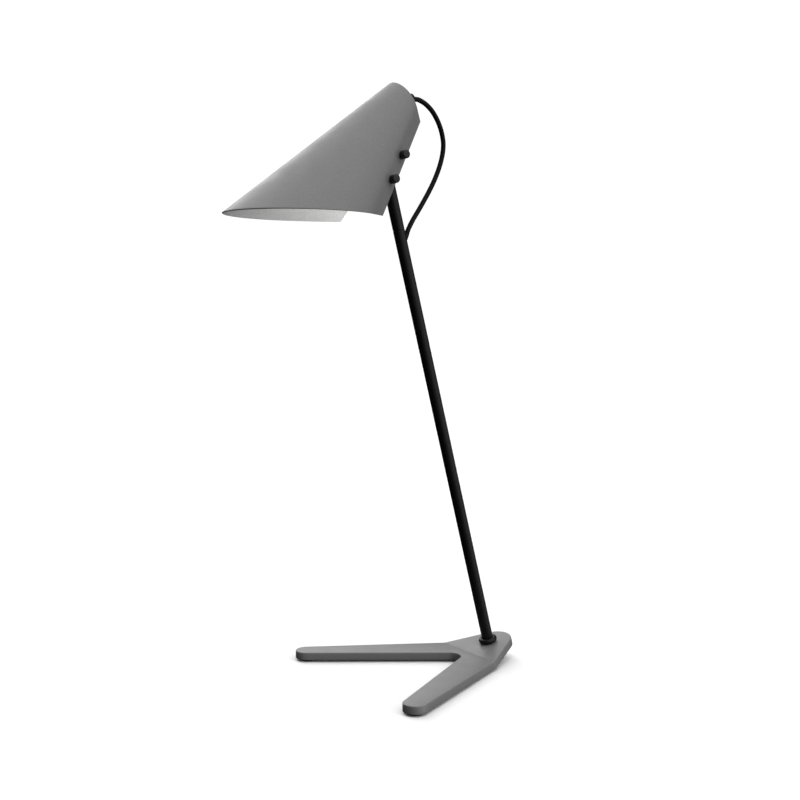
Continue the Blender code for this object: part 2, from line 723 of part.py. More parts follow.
def build():
    clear_scene()
    base_plate()
    feet()
    stem_fixing()
    stem_ring()
    stem_tube()
    stem_head()
    head = [shade_sheet(), end_plate(), tilt_bracket()]
    head += lampholder() + bulb() + gland() + friction_washers()
    head += rod_stack("pivot", PIVOT_FRAME) + rod_stack("stop", STOP_FRAME)
    hang_on_pivot(head)
    head_cord()


build()
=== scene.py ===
"""Looks of the architect desk lamp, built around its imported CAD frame.

Shapes are given in millimetres and turned into metres as they are built.
"""
import math

import bmesh
import bpy
from mathutils import Matrix, Vector

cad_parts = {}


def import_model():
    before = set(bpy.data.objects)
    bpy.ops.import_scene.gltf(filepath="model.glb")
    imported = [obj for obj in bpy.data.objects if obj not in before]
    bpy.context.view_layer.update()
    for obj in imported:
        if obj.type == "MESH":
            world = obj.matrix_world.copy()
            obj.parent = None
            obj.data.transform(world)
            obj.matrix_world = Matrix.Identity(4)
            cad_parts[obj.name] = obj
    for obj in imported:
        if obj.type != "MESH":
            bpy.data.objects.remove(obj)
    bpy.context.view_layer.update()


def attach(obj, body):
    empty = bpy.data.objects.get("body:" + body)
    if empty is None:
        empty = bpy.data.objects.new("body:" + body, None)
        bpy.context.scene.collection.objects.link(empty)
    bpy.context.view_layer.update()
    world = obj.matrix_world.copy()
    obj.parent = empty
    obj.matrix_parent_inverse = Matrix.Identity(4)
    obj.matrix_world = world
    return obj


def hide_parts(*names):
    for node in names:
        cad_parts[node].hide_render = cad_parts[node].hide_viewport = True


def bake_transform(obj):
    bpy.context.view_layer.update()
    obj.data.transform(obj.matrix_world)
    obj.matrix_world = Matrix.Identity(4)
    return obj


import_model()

MM = 0.001
GAP = 0.3                      # clearance between neighbouring pieces
IN_PLACE = Matrix.Identity(4)
SIDES = ((1, "right"), (-1, "left"))

# Camera, at the photograph's viewing angle.
CAMERA_PLACE = (0.96636, -0.61824, 0.36154)
CAMERA_AZIMUTH = 56.40
CAMERA_ELEVATION = 3.83
CAMERA_LENS = 51.75

# Base.
CENTRE_FORWARD = 160.77
FOOT_HEIGHT = 2.3
PLATE = 8.3
ARM_END = (188.4, 103.4)
ARM_RADIUS = 12.2
CROTCH = (74.5, 12.4)
BEND = (49.7, 44.7)
BEND_RADIUS = 6.0
LEG_END = 31.7
LEG_RADIUS = 22.4
PLATE_EDGE = 0.9               # rounding of the plate's edges
FEET = [("foot_arm_right", ARM_END[0], ARM_END[1]),
        ("foot_arm_left", ARM_END[0], -ARM_END[1]),
        ("foot_heel_right", BEND[0] + 11, 29.0),
        ("foot_heel_left", BEND[0] + 11, -29.0)]
FOOT_RADIUS = 8.0
PEG_RADIUS = 3.0
PEG_HEIGHT = 3.5
NIPPLE_RADIUS = 4.7
NIPPLE_BORE = 3.6
NIPPLE_PITCH = 1.0
STEM_NUT = 13.2                # size across its flats
OUTLET_BORE = 2.4
WASHER_OUTER = 8.0

# Stem.
LEAN = math.radians(14.9)
STEM_FOOT = 28.3
STEM_RADIUS = 6.0
STEM_WALL = 1.0
SEAM = 452.0
RING_RADIUS = 9.9
RING_HEIGHT = 5.6
TONGUE = 4.0
TONGUE_START = 498.0
TONGUE_TOP_RADIUS = 7.4
FLAT_DEPTH = 0.15
ROUND, SQUARE = 2.0, 9.0       # powers of the superellipse of the shank and the tongue

# Tilt joint.
PIVOT = (-2.2, 523.0)
STOP = (19.9, 502.8)
ROD_RADIUS = 2.5
KNOB_RADIUS = 4.1
KNOB_LENGTH = 6.0
KNOB_SOCKET = 4.0              # depth of the bore in a knob
ROD_SHORT = 1.8                # how far a rod ends short of its knobs' outer faces
SEAT_RISE = 0.6                # with GAP, how far a seat stands above the shade beside it
CHEEK = (6.3, 7.8)
SPACER_RADIUS = 4.0
CHEEK_RADIUS = (7.0, 6.0)      # rounding of the bracket's ends about the pivot and the stop
WEB = (11.0, 25.0, 4.6, 6.0)   # bracket web: start and end along it, inner and outer face
FRICTION_RADIUS = 6.5          # outer radius of the friction washers

# Shade.
TIP = (326.15, 463.64)
RIDGE = math.radians(37.06)
RIDGE_LENGTH = 223.6
SHEET = 1.0
ROLL_RADIUS = (81.15, 21.6)
ROLL_LEAN = (24.1, 23.8)
TOP_CORNER = (45.6, 221.7)
BOTTOM_CORNER = 114.2
BOTTOM_DROP = 0.46
BOTTOM_BOW = 0.2
SHEET_EDGE = 0.3               # rounding of the sheet's cut edges
END_PLATE = (219.4, 221.0)
END_PLATE_REACH = 9.0          # straight part of the end plate's sides, past the roll
LAMP_DEPTH = 22.6
HOLDER_LENGTH = 44.0
HOLDER_BACK = 12.0             # solid back of the holder, behind its cavity
HOLDER_BORE = 9.0
HOLDER_RADIUS = 11.8
SKIRT_RADIUS = 13.0
SKIRT_LENGTH = 18.0
FLUTES = 20
FLUTE_DEPTH = 0.45
BULB_LENGTH = 70.0
BULB_RADIUS = 17.5
BULB_NECK = 7.2
BULB_SHOULDER = 0.42           # share of the glass's length at which it is widest

# Cord.
CORD_RADIUS = 2.5
GLAND_NUT = 12.6               # size across its flats
GLAND_STAND = 5.9
GLAND_TILT = math.radians(22)
GLAND_LENGTH = 10.5
ENTRY = (-6.0, 443.0)
ENTRY_TILT = math.radians(38)
END_BORE = 1.2                 # narrow bore of the two pieces that the cord's ends meet
SLEEVE_OUT = 4.3
SLEEVE_IN = 5.0
CORD_POINTS = [(117.0, 585.35), (113.2, 584.8), (104.9, 581.2), (96.0, 573.5), (88.3, 561.3),
               (84.3, 548.1), (84.3, 537.0), (87.4, 524.3), (93.1, 510.4), (101.2, 495.6),
               (112.4, 478.3), (121.3, 465.4)]

# Light: broad panels of the surround, as azimuth, elevation, radius of the even core, radius of
# the soft edge, all in degrees, and brightness.
PANELS = [
    (0, 8, 18, 48, 0.56),
    (45, 8, 18, 48, 1.05),
    (0, 50, 18, 50, 1.15),
    (180, 50, 18, 50, 1.25),
    (0, 90, 18, 50, 0.85),
    (170, 22, 8, 30, 1.40),
    (45, -45, 25, 55, 0.22),
]
BACKDROP = 1.05                # brightness of the surround where the camera sees it

# Small soft light in the mouth of the shade, facing its far flank: side, forward and up position,
# width and power.
FILL = (8.0, 204.0, 477.0, 20.0, 0.0160)

FLOOR_SIZE = 40.0              # metres from the floor's middle to its edge


# ---------------------------------------------------------------- frames

def place(side, forward, up):
    """World position, in metres, of a point given as side, forward and up in millimetres."""
    return Vector((side, CENTRE_FORWARD - forward, up)) * MM


def axes(origin, z_axis):
    """Matrix of a frame with its x axis along the lamp's +X and its z axis along z_axis."""
    x_axis = Vector((1, 0, 0))
    z_axis = Vector(z_axis).normalized()
    rows = Matrix((x_axis, z_axis.cross(x_axis), z_axis)).transposed().to_4x4()
    return Matrix.Translation(origin) @ rows


def shift(matrix, y=0.0, z=0.0):
    """Frame moved by millimetres along its own y and z axes."""
    return matrix @ Matrix.Translation(Vector((0, y, z)) * MM)


def leg_top(behind, depth=0.0):
    """Forward and up position on the plate, by distance behind the bend and depth below the top."""
    radius = BEND_RADIUS + depth
    arc = BEND_RADIUS * LEAN
    turn = min(max(behind / BEND_RADIUS, 0.0), LEAN)
    rest = behind if behind < 0 else max(behind - arc, 0.0)
    forward = BEND[0] - radius * math.sin(turn) - rest * math.cos(turn)
    up = FOOT_HEIGHT + PLATE + BEND_RADIUS - radius * math.cos(turn) + rest * math.sin(turn)
    return forward, up


STEM = axes(place(0, *leg_top(STEM_FOOT)), (0, -math.sin(LEAN), math.cos(LEAN)))
SHADE = axes(place(0, *TIP), (0, math.cos(RIDGE), math.sin(RIDGE)))
LAMP = shift(SHADE, y=LAMP_DEPTH)
ACROSS = Matrix.Rotation(math.radians(90), 4, "Y")
PIVOT_FRAME = shift(STEM, y=-PIVOT[0], z=PIVOT[1]) @ ACROSS
STOP_FRAME = shift(STEM, y=-STOP[0], z=STOP[1]) @ ACROSS


def side_frame(axis_frame, side):
    """Frame on a rod's axis with z pointing out to the given side."""
    return axis_frame if side > 0 else axis_frame @ Matrix.Rotation(math.pi, 4, "Y")


def gland_frame():
    """Frame at the foot of the gland, with z along the gland."""
    base = shift(LAMP, z=END_PLATE[1] + GLAND_STAND)
    direction = SHADE.to_3x3() @ Vector((0, math.sin(GLAND_TILT), math.cos(GLAND_TILT)))
    return axes(base.to_translation(), direction)


def entry_frame():
    """Frame at the cord's entry, with z pointing out of the stem along the cord."""
    direction = Vector((0, math.sin(ENTRY_TILT), math.cos(ENTRY_TILT)))
    origin = shift(STEM, y=-ENTRY[0], z=ENTRY[1])
    return axes(origin.to_translation(), STEM.to_3x3() @ direction)


def lerp(ends, t):
    """Value at a share t of the way from the first of two ends to the second."""
    return ends[0] + (ends[1] - ends[0]) * t


# ---------------------------------------------------------------- mesh helpers

def finish_piece(name, bm, matrix, looks, sharp=38.0):
    """Turn a bmesh in metres in its own frame into an object at the world's origin."""
    bmesh.ops.remove_doubles(bm, verts=bm.verts, dist=1e-7)
    bmesh.ops.recalc_face_normals(bm, faces=bm.faces)
    bm.transform(matrix)
    mesh = bpy.data.meshes.new(name)
    bm.to_mesh(mesh)
    bm.free()
    mesh.shade_smooth()
    mesh.set_sharp_from_angle(angle=math.radians(sharp))
    made = bpy.data.objects.new(name, mesh)
    bpy.context.scene.collection.objects.link(made)
    for look in looks:
        mesh.materials.append(look)
    return made


def adopt(piece, body, slot, *nodes):
    """Ride a piece on its body and let it stand for CAD nodes; its slot is not used."""
    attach(piece, body)
    if nodes:
        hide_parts(*nodes)


def apply_modifiers(made, sharp=38.0):
    """Keep the object's evaluated mesh and drop its modifiers."""
    graph = bpy.context.evaluated_depsgraph_get()
    mesh = bpy.data.meshes.new_from_object(made.evaluated_get(graph), depsgraph=graph)
    made.modifiers.clear()
    made.data = mesh
    mesh.name = made.name
    mesh.shade_smooth()
    mesh.set_sharp_from_angle(angle=math.radians(sharp))


def filleted(corners, steps=5):
    """Closed outline through corners given as (first, second, rounding), each corner rounded."""
    points = []
    for i, (first, second, rounding) in enumerate(corners):
        here = Vector((first, second))
        if rounding == 0:
            points.append((first, second))
            continue
        before = (Vector(corners[i - 1][:2]) - here).normalized()
        after = (Vector(corners[(i + 1) % len(corners)][:2]) - here).normalized()
        half = before.angle(after) / 2
        centre = here + (before + after).normalized() * (rounding / math.sin(half))
        start = here + before * (rounding / math.tan(half)) - centre
        end = here + after * (rounding / math.tan(half)) - centre
        turn = math.atan2(start.x * end.y - start.y * end.x, start.dot(end))
        for k in range(steps + 1):
            angle = turn * k / steps
            points.append((centre.x + start.x * math.cos(angle) - start.y * math.sin(angle),
                           centre.y + start.x * math.sin(angle) + start.y * math.cos(angle)))
    return points


def lathe(name, profile_at, matrix, looks, segments=72, sharp=38.0):
    """Solid swept about the local z axis. profile_at gives its radii and heights at an angle."""
    bm = bmesh.new()
    loops = []
    for k in range(segments):
        angle = 2 * math.pi * k / segments
        loops.append([bm.verts.new((r * math.cos(angle) * MM, r * math.sin(angle) * MM, z * MM))
                      for r, z in profile_at(angle)])
    first_profile = profile_at(0.0)
    count = len(first_profile)
    spans = count - 1 if first_profile[0][0] == 0 else count
    for one, two in zip(loops, loops[1:] + loops[:1]):
        for i in range(spans):
            j = (i + 1) % count
            bm.faces.new([one[i], one[j], two[j], two[i]])
    return finish_piece(name, bm, matrix, looks, sharp)


def turned(name, corners, matrix, looks, segments=72, sharp=38.0):
    """Solid of revolution with rounded corners."""
    profile = filleted(corners)
    return lathe(name, lambda angle: profile, matrix, looks, segments, sharp)


def ring_corners(inner, outer, low, high, edge, inner_edge=0.0):
    """Corners of a ring's section, for turned()."""
    return [(outer, low, edge), (outer, high, edge),
            (inner, high, inner_edge), (inner, low, inner_edge)]


def threaded(name, bore, radius, depth, pitch, low, high, matrix, looks):
    """Tube or rod with a helical thread outside. A bore of 0 makes it solid."""
    rows_per_turn = 6
    rows = int((high - low) / pitch * rows_per_turn)

    def profile_at(angle):
        points = []
        for i in range(rows + 1):
            z = low + (high - low) * i / rows
            wave = 0.5 + 0.5 * math.cos(2 * math.pi * (z / pitch - angle / (2 * math.pi)))
            fade = min(1.0, (z - low) / pitch + 0.1, (high - z) / pitch + 0.1)
            points.append((radius - depth * (1 - wave * fade), z))
        if bore == 0:
            return [(0.0, low)] + points + [(0.0, high)]
        return points + [(bore, high), (bore, low)]

    return lathe(name, profile_at, matrix, looks, 48, 60)


def hexagonal(name, bore, across, low, high, matrix, looks, turn=0.0):
    """Nut with six flats, chamfered where its corners meet its faces and where its bore does."""
    face = across / 2 * 0.97
    slope = math.tan(math.radians(30))
    lead = 0.25

    def profile_at(angle):
        local = (angle + turn) % (math.pi / 3) - math.pi / 6
        radius = across / 2 / math.cos(local)
        drop = (radius - face) * slope
        return [(bore + lead, low), (face, low), (radius, low + drop), (radius, high - drop),
                (face, high), (bore + lead, high), (bore, high - lead), (bore, low + lead)]

    return lathe(name, profile_at, matrix, looks, 96, 25)


def prism(name, outline, low, high, matrix, looks):
    """Plate of an outline in the local xy plane, between two heights."""
    bm = bmesh.new()
    face = bm.faces.new([bm.verts.new((x * MM, y * MM, low * MM)) for x, y in outline])
    grown = bmesh.ops.extrude_face_region(bm, geom=[face])
    moved = [item for item in grown["geom"] if isinstance(item, bmesh.types.BMVert)]
    bmesh.ops.translate(bm, verts=moved, vec=(0, 0, (high - low) * MM))
    return finish_piece(name, bm, matrix, looks)


def round_edges(made, width, segments=3, angle=40.0):
    """Round every edge that turns by more than an angle in degrees."""
    rounding = made.modifiers.new("edges", "BEVEL")
    rounding.width = width * MM
    rounding.segments = segments
    rounding.limit_method = "ANGLE"
    rounding.angle_limit = math.radians(angle)


def arc(centre, radius, start, end, steps):
    """Points of an arc, from start to end in degrees, about a centre given as two coordinates."""
    turn = [math.radians(start + (end - start) * i / steps) for i in range(steps + 1)]
    return [(centre[0] + radius * math.cos(a), centre[1] + radius * math.sin(a)) for a in turn]


def boolean(target, tool, operation="DIFFERENCE"):
    """Cut target with tool, or join tool to it, and remove the tool."""
    step = target.modifiers.new(operation.lower(), "BOOLEAN")
    step.operation = operation
    step.solver = "EXACT"
    step.object = tool
    apply_modifiers(target)
    bpy.data.objects.remove(tool)


# ---------------------------------------------------------------- materials

class Look:
    """Node graph around one Principled shader, in world-sized coordinates."""

    def __init__(self, name, color, roughness, **values):
        self.material = bpy.data.materials.new(name)
        self.material.use_nodes = True
        self.nodes = self.material.node_tree.nodes
        self.links = self.material.node_tree.links
        self.shader = self.nodes["Principled BSDF"]
        self.color = color
        self.roughness = roughness
        self.set("Base Color", (*color, 1.0))
        self.set("Roughness", roughness)
        for socket, value in values.items():
            self.set(socket.replace("_", " "), value)
        self.place = self.nodes.new("ShaderNodeTexCoord")

    def set(self, socket, value):
        """Give one of the shader's inputs a plain value."""
        self.shader.inputs[socket].default_value = value

    def noise(self, scale, detail=2.0, stretch=(1, 1, 1)):
        """Noise whose scale is in waves per metre."""
        mapping = self.nodes.new("ShaderNodeMapping")
        mapping.inputs["Scale"].default_value = stretch
        texture = self.nodes.new("ShaderNodeTexNoise")
        texture.inputs["Scale"].default_value = scale
        texture.inputs["Detail"].default_value = detail
        self.links.new(self.place.outputs["Object"], mapping.inputs["Vector"])
        self.links.new(mapping.outputs["Vector"], texture.inputs["Vector"])
        return texture.outputs["Fac"]

    def spread(self, value, low, high):
        """Map a noise value from its usual 0.3 to 0.7 onto low to high."""
        node = self.nodes.new("ShaderNodeMapRange")
        node.inputs["From Min"].default_value = 0.3
        node.inputs["From Max"].default_value = 0.7
        node.inputs["To Min"].default_value = low
        node.inputs["To Max"].default_value = high
        self.links.new(value, node.inputs["Value"])
        return node.outputs["Result"]

    def vary_roughness(self, value, spread):
        """Let the roughness run by spread to either side of its own value."""
        self.links.new(self.spread(value, self.roughness - spread, self.roughness + spread),
                       self.shader.inputs["Roughness"])

    def vary_color(self, value, dark, light):
        """Run the base colour from dark to light, as shares of itself."""
        ramp = self.nodes.new("ShaderNodeMix")
        ramp.data_type = "RGBA"
        colors = [socket for socket in ramp.inputs if socket.type == "RGBA"]
        colors[0].default_value = (*[c * dark for c in self.color], 1)
        colors[1].default_value = (*[min(c * light, 1.0) for c in self.color], 1)
        self.links.new(self.spread(value, 0, 1), ramp.inputs["Factor"])
        mixed = [socket for socket in ramp.outputs if socket.type == "RGBA"][0]
        self.links.new(mixed, self.shader.inputs["Base Color"])

    def bump(self, value, height):
        """Raise the surface by height millimetres where the value is 1."""
        node = self.nodes.new("ShaderNodeBump")
        node.inputs["Strength"].default_value = 1.0
        node.inputs["Distance"].default_value = height * MM
        self.links.new(value, node.inputs["Height"])
        if self.shader.inputs["Normal"].links:
            before = self.shader.inputs["Normal"].links[0].from_socket
            self.links.new(before, node.inputs["Normal"])
        self.links.new(node.outputs["Normal"], self.shader.inputs["Normal"])


def powder_paint(name, color, roughness):
    """Fine-textured powder paint on sheet steel."""
    look = Look(name, color, roughness, Specular_IOR_Level=0.5)
    look.vary_color(look.noise(520, 5), 0.93, 1.07)
    look.vary_roughness(look.noise(60, 3), 0.04)
    look.bump(look.noise(850, 3), 0.05)
    look.bump(look.noise(220, 1), 0.03)
    return look.material


def satin_black():
    """Smooth satin paint on the stem."""
    look = Look("black_coat", (0.0058, 0.0058, 0.0060), 0.36, Specular_IOR_Level=0.17)
    look.vary_color(look.noise(160, 3), 0.85, 1.2)
    look.vary_roughness(look.noise(90, 3), 0.05)
    look.bump(look.noise(900, 2), 0.03)
    return look.material


def moulded_plastic(name, color, roughness):
    """Plastic with the faint grain of its mould."""
    look = Look(name, color, roughness, Specular_IOR_Level=0.30)
    look.vary_color(look.noise(200, 2), 0.9, 1.12)
    look.vary_roughness(look.noise(300, 3), 0.06)
    look.bump(look.noise(1500, 2), 0.02)
    return look.material


def matt_rubber():
    """Rubber with a dusty, slightly blotched surface."""
    look = Look("rubber", (0.0045, 0.0045, 0.0045), 0.66, Specular_IOR_Level=0.18)
    look.vary_color(look.noise(350, 4), 0.8, 1.3)
    look.vary_roughness(look.noise(500, 3), 0.08)
    look.bump(look.noise(1300, 4), 0.05)
    return look.material


def cable_jacket():
    """Soft cable jacket with fine unevenness."""
    look = Look("cord_jacket", (0.0030, 0.0030, 0.0032), 0.44, Specular_IOR_Level=0.10)
    look.vary_color(look.noise(240, 3), 0.85, 1.2)
    look.vary_roughness(look.noise(400, 3), 0.06)
    look.bump(look.noise(700, 3), 0.04)
    return look.material


def metal(name, color, roughness, stretch=(1, 1, 1)):
    """Metal with fine drawn or turned lines along one direction and faint clouding."""
    look = Look(name, color, roughness, Metallic=1.0)
    look.vary_color(look.noise(120, 4), 0.88, 1.08)
    look.vary_roughness(look.noise(700, 4, stretch), 0.10)
    look.bump(look.noise(1600, 3, stretch), 0.012)
    return look.material


def opal_glass():
    """Milky glass that light enters a little way."""
    look = Look("opal_glass", (0.90, 0.90, 0.88), 0.28, Coat_Weight=0.4, Coat_Roughness=0.08)
    look.set("Subsurface Weight", 0.25)
    look.set("Subsurface Radius", (0.004, 0.004, 0.004))
    look.vary_color(look.noise(60, 2), 0.97, 1.02)
    look.vary_roughness(look.noise(150, 2), 0.03)
    look.bump(look.noise(1400, 2), 0.008)
    return look.material


GREY = powder_paint("grey_paint", (0.171, 0.171, 0.172), 0.42)
WHITE = powder_paint("inner_white_paint", (0.82, 0.82, 0.815), 0.50)
BLACK = satin_black()
PLASTIC = moulded_plastic("black_plastic", (0.005, 0.005, 0.005), 0.38)
BAKELITE = moulded_plastic("bakelite", (0.018, 0.016, 0.015), 0.26)
RUBBER = matt_rubber()
JACKET = cable_jacket()
STEEL = metal("steel", (0.60, 0.60, 0.61), 0.34, (0.15, 1, 1))
BRASS = metal("brass", (0.75, 0.58, 0.28), 0.32, (1, 1, 0.2))
GLASS = opal_glass()


# ---------------------------------------------------------------- base

def edge_turn(start, centre, radius):
    """Direction, in degrees, of the left-hand normal of the line from start to touch a circle."""
    dx = centre[0] - start[0]
    dy = centre[1] - start[1]
    return math.degrees(math.atan2(dy, dx) + math.acos(-radius / math.hypot(dx, dy)))


def arm_outline():
    """Edge of one arm, as forward and side points: bend, round end and crotch."""
    outer = edge_turn(BEND, ARM_END, ARM_RADIUS)
    crotch = (CROTCH[0], 0.0)
    inner = 2 * math.degrees(math.atan2(ARM_END[1], ARM_END[0] - crotch[0]))
    inner -= edge_turn(crotch, ARM_END, ARM_RADIUS + CROTCH[1])
    arm = arc(ARM_END, ARM_RADIUS, outer, inner, 48)
    fillet = arc(crotch, CROTCH[1], inner + 180, 180, 16)
    return [BEND] + arm + fillet


def base_plate():
    """V-shaped plate with rounded edges, whose rear leg is bent up square to the stem."""
    arm = [(BEND[0] - forward, side) for forward, side in arm_outline()]
    flat = arm + [(behind, -side) for behind, side in reversed(arm[:-1])]
    end = (LEG_END, 0.0)
    turn = edge_turn((0.0, BEND[1]), end, LEG_RADIUS)
    leg = arc(end, LEG_RADIUS, -turn, turn, 64)
    bend = []
    steps = 8
    for i in range(1, steps + 1):
        behind = BEND_RADIUS * LEAN * i / steps
        bend.append((behind, BEND[1] + (leg[-1][1] - BEND[1]) * behind / leg[-1][0]))
    bm = bmesh.new()

    def points(row, depth):
        return [bm.verts.new(place(side, *leg_top(behind, depth))) for behind, side in row]

    loops = []
    for depth in (0.0, PLATE):
        front = points(flat, depth)
        left = points([(behind, -side) for behind, side in bend], depth)
        rear = points(leg, depth)
        right = points(bend, depth)
        bm.faces.new(front)
        bm.faces.new([front[0], front[-1], left[0], right[0]])
        for i in range(len(bend) - 1):
            bm.faces.new([right[i], left[i], left[i + 1], right[i + 1]])
        bm.faces.new([right[-1], left[-1]] + rear)
        loops.append(front + left + rear + right[::-1])
    top, bottom = loops
    for i in range(len(top)):
        bm.faces.new([top[i - 1], top[i], bottom[i], bottom[i - 1]])
    plate = finish_piece("base_plate_fine", bm, IN_PLACE, [GREY])
    round_edges(plate, PLATE_EDGE, 4, 50)
    apply_modifiers(plate, 30)
    bore = NIPPLE_RADIUS + GAP
    low = -PLATE - 3
    hole = turned("hole", [(0, low, 0), (bore, low, 0), (bore, 3, 0), (0, 3, 0)], STEM, [GREY])
    boolean(plate, hole)
    plate.data.set_sharp_from_angle(angle=math.radians(30))
    adopt(plate, "stand", "grey_paint", "base_plate")


def feet():
    """Rubber feet with a rounded rim and a shallow hollow underneath."""
    top = FOOT_HEIGHT - GAP
    corners = [(0, 0.5, 0), (FOOT_RADIUS - 3.2, 0.5, 0.4), (FOOT_RADIUS - 2.6, 0, 0.25),
               (FOOT_RADIUS, 0, 0.7), (FOOT_RADIUS, top, 0.4), (PEG_RADIUS, top, 0),
               (PEG_RADIUS, FOOT_HEIGHT + PEG_HEIGHT, 0.5), (0, FOOT_HEIGHT + PEG_HEIGHT, 0)]
    for name, forward, side in FEET:
        upright = axes(place(side, forward, 0), (0, 0, 1))
        foot = turned(name + "_fine", corners, upright, [RUBBER], 64)
        adopt(foot, "stand", "rubber", name)


def stem_fixing():
    """Threaded nipple, washer, nut and cable bush under the leg."""
    under = -PLATE - GAP
    nipple = threaded("stem_nipple_fine", NIPPLE_BORE, NIPPLE_RADIUS, 0.45, NIPPLE_PITCH,
                      under - 4.6, 14, STEM, [STEEL])
    adopt(nipple, "stand", "steel", "stem_nipple")
    washer = turned("nipple_washer_fine",
                    ring_corners(NIPPLE_RADIUS + GAP, WASHER_OUTER, under - 1.0, under, 0.3), STEM,
                    [STEEL])
    adopt(washer, "stand", "steel", "nipple_washer")
    nut = hexagonal("nipple_nut_fine", NIPPLE_RADIUS + 0.1, STEM_NUT, under - 4.3, under - 1.3,
                    STEM, [STEEL])
    adopt(nut, "stand", "steel", "nipple_nut")
    bush = turned("cable_outlet_bush_fine",
                  ring_corners(OUTLET_BORE, NIPPLE_BORE - GAP, under - 4.8, under + 2, 0.2, 0.4),
                  STEM, [RUBBER])
    adopt(bush, "stand", "rubber", "cable_outlet_bush")


# ---------------------------------------------------------------- stem

def stem_ring():
    """Rounded ring at the stem's foot."""
    half = RING_HEIGHT / 2
    centre = half + GAP
    bulge = arc((RING_RADIUS - half, centre), half, -90, 90, 24)
    inner = STEM_RADIUS + 0.12
    profile = bulge + [(inner + 0.5, centre + half), (inner, centre + half - 0.4),
                       (inner, centre - half)]
    ring = lathe("stem_ring_fine", lambda angle: profile, STEM, [BLACK], 96)
    adopt(ring, "stand", "black_coat", "stem_ring")


def stem_tube():
    """Long tube of the stem and the sleeve in its back through which the cord enters."""
    corners = [(STEM_RADIUS, GAP, 0.2), (STEM_RADIUS, SEAM - GAP / 2, 0.3),
               (STEM_RADIUS - STEM_WALL, SEAM - GAP / 2, 0), (STEM_RADIUS - STEM_WALL, GAP, 0)]
    tube = turned("stem_tube_fine", corners, STEM, [BLACK], 96)
    adopt(tube, "stand", "black_coat", "stem_tube")
    sleeve = turned("cord_entry_sleeve_fine",
                    [(CORD_RADIUS + 0.25, -SLEEVE_IN, 0.2), (CORD_RADIUS + 0.25, SLEEVE_OUT, 0.3),
                     (END_BORE, SLEEVE_OUT, 0.2), (END_BORE, -SLEEVE_IN, 0.2)],
                    entry_frame(), [RUBBER], 48)
    adopt(sleeve, "stand", "rubber", "cord_entry_sleeve")


def stem_head():
    """Head of the stem: a round shank with two milled flats that narrows to the pivot's tongue."""
    spigot = STEM_RADIUS - STEM_WALL - GAP
    shoulder = SEAM + GAP / 2
    pivot_back, pivot_up = -PIVOT[0], PIVOT[1]
    top = pivot_up + TONGUE_TOP_RADIUS
    heights = [SEAM - 5.5, shoulder - 0.01, shoulder, shoulder + 0.12, shoulder + 0.3]
    heights += [SEAM + 0.6, SEAM + 0.9]
    heights += [SEAM + 3 + (TONGUE_START - SEAM - 4) * i / 10 for i in range(11)]
    heights += [TONGUE_START - 0.3, TONGUE_START, TONGUE_START + 0.35, TONGUE_START + 0.7]
    heights += [TONGUE_START + 1 + (pivot_up - TONGUE_START - 1) * i / 10 for i in range(11)]
    heights += [pivot_up + TONGUE_TOP_RADIUS * math.sin(math.radians(6 * i)) for i in range(1, 15)]
    heights += [top - 0.005]

    def section(height):
        """Radius along x, thickness limit, radius along y, middle along y and squareness."""
        if height < shoulder:
            return spigot, spigot, spigot, 0.0, ROUND
        if height < shoulder + 0.3:
            round_edge = STEM_RADIUS - 0.25 * (1 - (height - shoulder) / 0.3)
            return round_edge, round_edge, round_edge, 0.0, ROUND
        flat = min(max((height - SEAM - 0.6) / 0.3, 0.0), 1.0) * FLAT_DEPTH
        if height <= TONGUE_START:
            return STEM_RADIUS, STEM_RADIUS - flat, STEM_RADIUS, 0.0, ROUND
        step = min((height - TONGUE_START) / 0.7, 1.0)
        thick = lerp((STEM_RADIUS - FLAT_DEPTH, TONGUE), step)
        grow = min(max((height - TONGUE_START) / (pivot_up - TONGUE_START), 0.0), 1.0)
        depth = lerp((STEM_RADIUS, TONGUE_TOP_RADIUS), grow)
        if height > pivot_up:
            depth = math.sqrt(max(TONGUE_TOP_RADIUS ** 2 - (height - pivot_up) ** 2, 0.0))
        wide = lerp((STEM_RADIUS, thick), step)
        return wide, thick, depth, pivot_back * grow, lerp((ROUND, SQUARE), step)

    bm = bmesh.new()
    count = 96
    loops = []
    for height in heights:
        wide, limit, deep, middle, power = section(height)
        ring = []
        for k in range(count):
            angle = 2 * math.pi * (k + 0.5) / count
            c, s = abs(math.cos(angle)), abs(math.sin(angle))
            radius = ((c / wide) ** power + (s / deep) ** power) ** (-1 / power)
            x = max(-limit, min(limit, radius * math.cos(angle)))
            y = middle + radius * math.sin(angle)
            ring.append(bm.verts.new((x * MM, y * MM, height * MM)))
        loops.append(ring)
    for one, two in zip(loops, loops[1:]):
        for k in range(count):
            bm.faces.new([one[k - 1], one[k], two[k], two[k - 1]])
    bm.faces.new(loops[0])
    bm.faces.new(loops[-1])
    head = finish_piece("stem_head_fine", bm, STEM, [BLACK], 28)
    adopt(head, "stand", "black_coat", "stem_head")


# ---------------------------------------------------------------- shade

def half_width(depth, along):
    """Half width of the rolled sheet at a depth below its ridge and a distance along it."""
    t = along / RIDGE_LENGTH
    radius = lerp(ROLL_RADIUS, t)
    lean = math.radians(lerp(ROLL_LEAN, t))
    flank = radius * (1 + math.sin(lean))
    if depth < flank:
        return math.sqrt(max(radius ** 2 - (radius - depth) ** 2, 0.0))
    return radius * math.cos(lean) - (depth - flank) * math.tan(lean)


def width_at(point):
    """Half width of the shade, in millimetres, beside a world point."""
    local = SHADE.inverted() @ point / MM
    return half_width(local.y, local.z)


